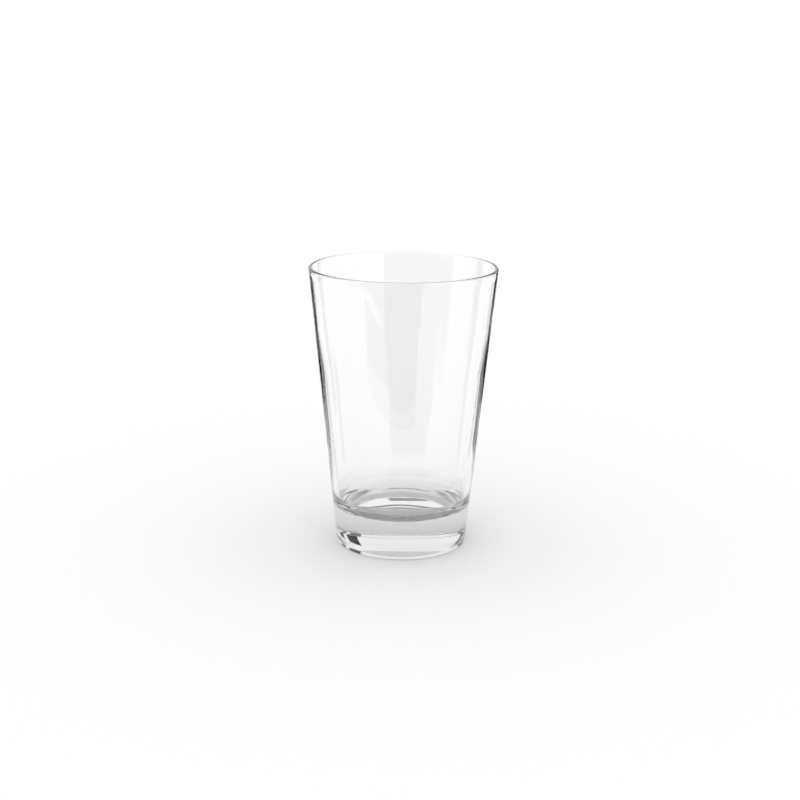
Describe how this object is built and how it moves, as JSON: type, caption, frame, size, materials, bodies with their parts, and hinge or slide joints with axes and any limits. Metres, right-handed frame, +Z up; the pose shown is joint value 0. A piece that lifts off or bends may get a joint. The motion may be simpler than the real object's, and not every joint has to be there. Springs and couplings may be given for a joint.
{
  "type": "pint glass",
  "caption": "Clear tapered pint glass with a rounded rim, a thick solid base and a shallow hollow under the foot; it holds a drink.",
  "frame": {"origin": "centre of the foot, on the surface that the glass stands on", "axes": "+Z up the glass's axis to the mouth; the glass is round, so X and Y are alike"},
  "size_m": [0.0878, 0.0878, 0.1326],
  "materials": {
    "glass": "clear soda-lime glass, fire-polished"
  },
  "bodies": {
    "root": {"pint_glass": "glass"}
  },
  "joints": []
}
